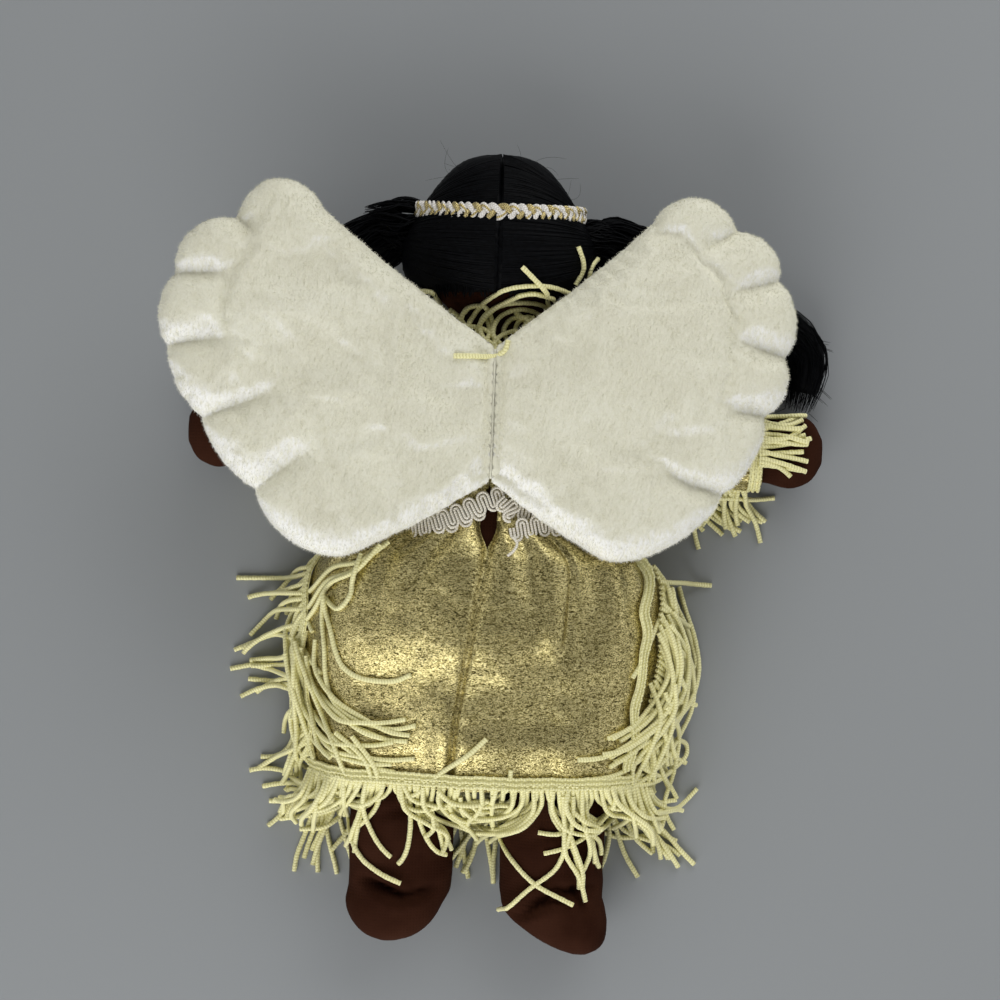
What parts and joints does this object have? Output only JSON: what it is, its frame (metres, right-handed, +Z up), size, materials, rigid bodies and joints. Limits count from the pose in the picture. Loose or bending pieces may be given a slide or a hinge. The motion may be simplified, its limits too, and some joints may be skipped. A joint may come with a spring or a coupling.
{
  "type": "cloth angel doll",
  "caption": "Soft cloth angel doll lying face down, with stuffed scalloped velvet wings, fringed gold dress, dark tied hair with a plaited headband, and jointed stuffed head, arms and legs.",
  "frame": {"origin": "on the surface that the doll lies on, under the flat underside of the skirt's front panel, below the waist", "axes": "+Z up through the doll's back, +Y towards its head, +X towards its right side as seen from above the back"},
  "size_m": [0.267, 0.3235, 0.0838],
  "materials": {
    "brown_cotton": "matte",
    "fibre_fill": "matte",
    "wing_velvet": "satin",
    "gold_lame": "satin",
    "fringe_cord": "satin",
    "scroll_braid": "satin",
    "hair_fibre": "satin",
    "band_plait": "satin",
    "hair_tie": "matte",
    "face_thread": "matte"
  },
  "bodies": {
    "torso": {"torso_cover": "brown_cotton", "torso_stuffing": "fibre_fill", "bodice_front": "gold_lame", "bodice_back_left": "gold_lame", "bodice_back_right": "gold_lame", "skirt_front": "gold_lame", "skirt_back_left": "gold_lame", "skirt_back_right": "gold_lame", "waist_braid_left": "scroll_braid", "waist_braid_right": "scroll_braid", "hem_fringe_back": "fringe_cord", "hem_fringe_front": "fringe_cord", "left_side_fringe": "fringe_cord", "right_side_fringe": "fringe_cord", "neck_fringe": "fringe_cord", "wing_seam": "wing_velvet"},
    "head": {"head_cover": "brown_cotton", "head_stuffing": "fibre_fill", "left_eye": "face_thread", "right_eye": "face_thread", "mouth": "face_thread", "hair_left": "hair_fibre", "hair_right": "hair_fibre", "headband": "band_plait", "left_hair_tie": "hair_tie", "right_hair_tie": "hair_tie"},
    "left_tail": {"left_pigtail": "hair_fibre"},
    "right_tail": {"right_pigtail": "hair_fibre"},
    "left_arm": {"left_arm_cover": "brown_cotton", "left_arm_stuffing": "fibre_fill", "left_sleeve": "gold_lame", "left_underarm_fringe": "fringe_cord", "left_cuff_fringe": "fringe_cord"},
    "right_arm": {"right_arm_cover": "brown_cotton", "right_arm_stuffing": "fibre_fill", "right_sleeve": "gold_lame", "right_underarm_fringe": "fringe_cord", "right_cuff_fringe": "fringe_cord"},
    "left_leg": {"left_leg_cover": "brown_cotton", "left_leg_stuffing": "fibre_fill"},
    "right_leg": {"right_leg_cover": "brown_cotton", "right_leg_stuffing": "fibre_fill"},
    "left_wing": {"left_wing_cover": "wing_velvet", "left_wing_stuffing": "fibre_fill"},
    "right_wing": {"right_wing_cover": "wing_velvet", "right_wing_stuffing": "fibre_fill"}
  },
  "joints": [
    {"name": "neck", "type": "hinge", "parent": "torso", "child": "head", "pos_m": [0, 0.1, 0.029], "axis": [1, 0, 0], "range_deg": [-22, 5], "deforming": ["left_pigtail", "right_pigtail", "neck_fringe"]},
    {"name": "left_tail_swing", "type": "hinge", "parent": "head", "child": "left_tail", "pos_m": [-0.04297, 0.131, 0.03], "axis": [0, 0, -1], "range_deg": [0, 20]},
    {"name": "right_tail_swing", "type": "hinge", "parent": "head", "child": "right_tail", "pos_m": [0.04297, 0.131, 0.03], "axis": [0, 0, 1], "range_deg": [0, 20]},
    {"name": "left_shoulder", "type": "hinge", "parent": "torso", "child": "left_arm", "pos_m": [-0.04538, 0.05, 0.029], "axis": [0, -1, 0], "range_deg": [-3, 50], "deforming": ["left_sleeve", "left_underarm_fringe"]},
    {"name": "right_shoulder", "type": "hinge", "parent": "torso", "child": "right_arm", "pos_m": [0.04538, 0.05, 0.029], "axis": [0, 1, 0], "range_deg": [-3, 50], "deforming": ["right_sleeve", "right_underarm_fringe"]},
    {"name": "left_hip", "type": "hinge", "parent": "torso", "child": "left_leg", "pos_m": [-0.031, -0.0443, 0.029], "axis": [1, 0, 0], "range_deg": [-40, 55], "deforming": ["skirt_front", "skirt_back_left", "skirt_back_right", "hem_fringe_back", "hem_fringe_front"]},
    {"name": "right_hip", "type": "hinge", "parent": "torso", "child": "right_leg", "pos_m": [0.031, -0.0443, 0.029], "axis": [1, 0, 0], "range_deg": [-40, 55], "deforming": ["skirt_front", "skirt_back_left", "skirt_back_right", "hem_fringe_back", "hem_fringe_front"]},
    {"name": "left_wing_root", "type": "hinge", "parent": "torso", "child": "left_wing", "pos_m": [-0.0003, 0.059, 0.06204], "axis": [0, 1, 0], "range_deg": [0, 60]},
    {"name": "right_wing_root", "type": "hinge", "parent": "torso", "child": "right_wing", "pos_m": [0.0003, 0.059, 0.06204], "axis": [0, -1, 0], "range_deg": [0, 60]}
  ]
}
